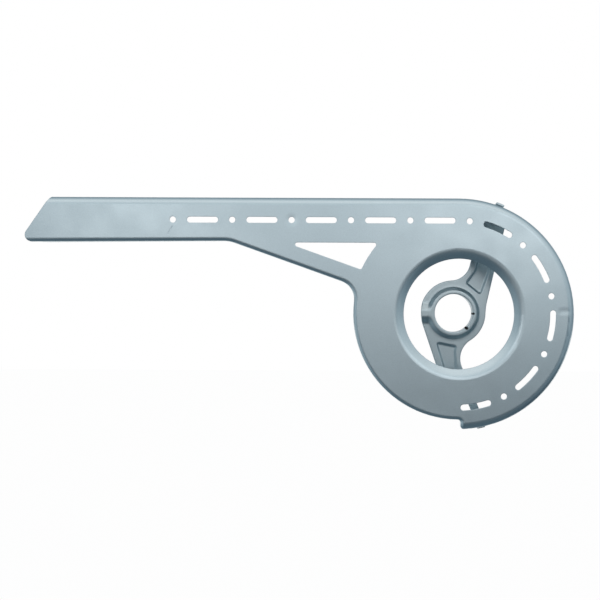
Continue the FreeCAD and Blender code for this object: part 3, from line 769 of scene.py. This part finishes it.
def ring_turns():
    """Directions of the rows of points along the neck, with a row at each side of a notch."""
    turns = np.arange(RING_SIDES) * (360.0 / RING_SIDES) - 180.0
    for middle, half in notch_spans():
        for side in (middle - half, middle + half):
            turns[np.argmin(np.abs(turns - side))] = side
    return turns


def neck_profiles():
    """Radius and Y along the neck: seat's edge, lip, floor of a notch, and bore to outside."""
    front = PLATE_FRONT - SEAT_RAISE
    notch_floor = front + NOTCH_DEPTH
    lip_turns = [math.radians(90.0) * i / LIP_STEPS for i in range(LIP_STEPS + 1)]
    lip = [(BORE + LIP_ROUND * (1.0 - math.sin(turn)), front + LIP_ROUND * (1.0 - math.cos(turn)))
           for turn in lip_turns]
    inside_out = [(BORE, notch_floor), (BORE, -NECK_END_ROUND), (BORE + NECK_END_ROUND, 0.0),
                  (NECK_RADIUS - NECK_END_ROUND, 0.0), (NECK_RADIUS, -NECK_END_ROUND)]
    return [(NOTCH_REACH, front)], lip, [(NOTCH_REACH, notch_floor)], inside_out


def add_neck(places, faces, turns, ring, behind):
    """Add the neck, from the sheet's front ring of points round the bore to the ring behind."""
    plain, cut, walls = [], [], []
    for turn, outer in zip(turns, ring):
        across, up = unit(turn)
        rows = []
        for profile in neck_profiles():
            first = len(places)
            places.extend((across * radius, y, up * radius) for radius, y in profile)
            rows.append(list(range(first, len(places))))
        edge, lip, floor, inside_out = rows
        plain.append([outer, *edge, *lip, *inside_out, outer + behind])
        cut.append([outer, *edge, *floor, *inside_out, outer + behind])
        walls.append([*edge, *lip, inside_out[0], *floor])
    in_notch = []
    for index, turn in enumerate(turns):
        following = (index + 1) % RING_SIDES
        middle = turn + ((turns[following] - turn) % 360.0) / 2.0
        in_notch.append(any(abs(middle - notch) < half for notch, half in notch_spans()))
        rows = cut if in_notch[-1] else plain
        one, two = rows[index], rows[following]
        faces += [(one[k], two[k], two[k + 1], one[k + 1]) for k in range(len(one) - 1)]
    for index, wall in enumerate(walls):
        if in_notch[index] and not in_notch[index - 1]:
            faces.append(tuple(reversed(wall)))
        if in_notch[index - 1] and not in_notch[index]:
            faces.append(tuple(wall))


def closed_mesh(name, places, faces):
    """Mesh of the places, given in mm, that the faces use."""
    used = sorted({i for face in faces for i in face})
    number = {old: new for new, old in enumerate(used)}
    mesh = bpy.data.meshes.new(name)
    mesh.from_pydata([tuple(v * MM for v in places[i]) for i in used], [],
                     [tuple(number[i] for i in face) for face in faces])
    mesh.shade_smooth()
    mesh.set_sharp_from_angle(angle=math.radians(SHARP_ANGLE))
    return mesh


def make_bracket():
    """The pressed bracket: front and back of the sheet, its cut edge and its neck."""
    outline, panels, turns = plate_outline(), panel_outlines(), ring_turns()
    circle = np.array([unit(turn) for turn in turns])
    flat, triangles, rim, neck = flat_sheet(outline, panels, circle)
    height = sheet_height(flat, panels)
    rounding = rounded_off(distance_inside(flat, outline), EDGE_ROUND)
    fillet = rounded_off(np.hypot(*flat.T) - NECK_RADIUS, NECK_FILLET)
    front = folded(flat, height, rounding)
    back = folded(flat, height, SHEET - rounding + fillet)
    places = [tuple(place) for place in np.concatenate([front, back])]
    behind = len(flat)
    faces = [tuple(face) for face in triangles]
    faces += [tuple(i + behind for i in reversed(face)) for face in triangles]
    faces += [(one, one + behind, two + behind, two) for one, two in zip(rim, rim[1:] + rim[:1])]
    add_neck(places, faces, turns, neck, behind)
    bracket = bpy.data.objects.new("pressed_bracket", closed_mesh("pressed_bracket", places, faces))
    bpy.context.scene.collection.objects.link(bracket)
    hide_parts("bracket")
    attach(bracket, "root")
    return bracket


def paint_node(node, material):
    """Give a CAD node one material."""
    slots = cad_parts[node].data.materials
    slots.clear()
    slots.append(material)


make_camera()
make_world()
make_floor()
groups = {"paint": paint_group(), "edge": edge_group()}
shell_paint = make_paint("shell_paint", groups, SHELL_TONES, SHELL_METAL, SHELL_ROUGHNESS,
                         (SHELL_WORN, SHELL_WEAR))
add_marks(shell_paint)
bracket_paint = make_paint("bracket_paint", groups, BRACKET_TONES, BRACKET_METAL,
                           BRACKET_ROUGHNESS, (BRACKET_WORN, BRACKET_WEAR))
# Painted shade: the notches get a near-black colour for the shadow inside them
add_painted_shade(bracket_paint)
paint_node("guard_shell", shell_paint)
paint_node("bracket", bracket_paint)
make_bracket().data.materials.append(bracket_paint)
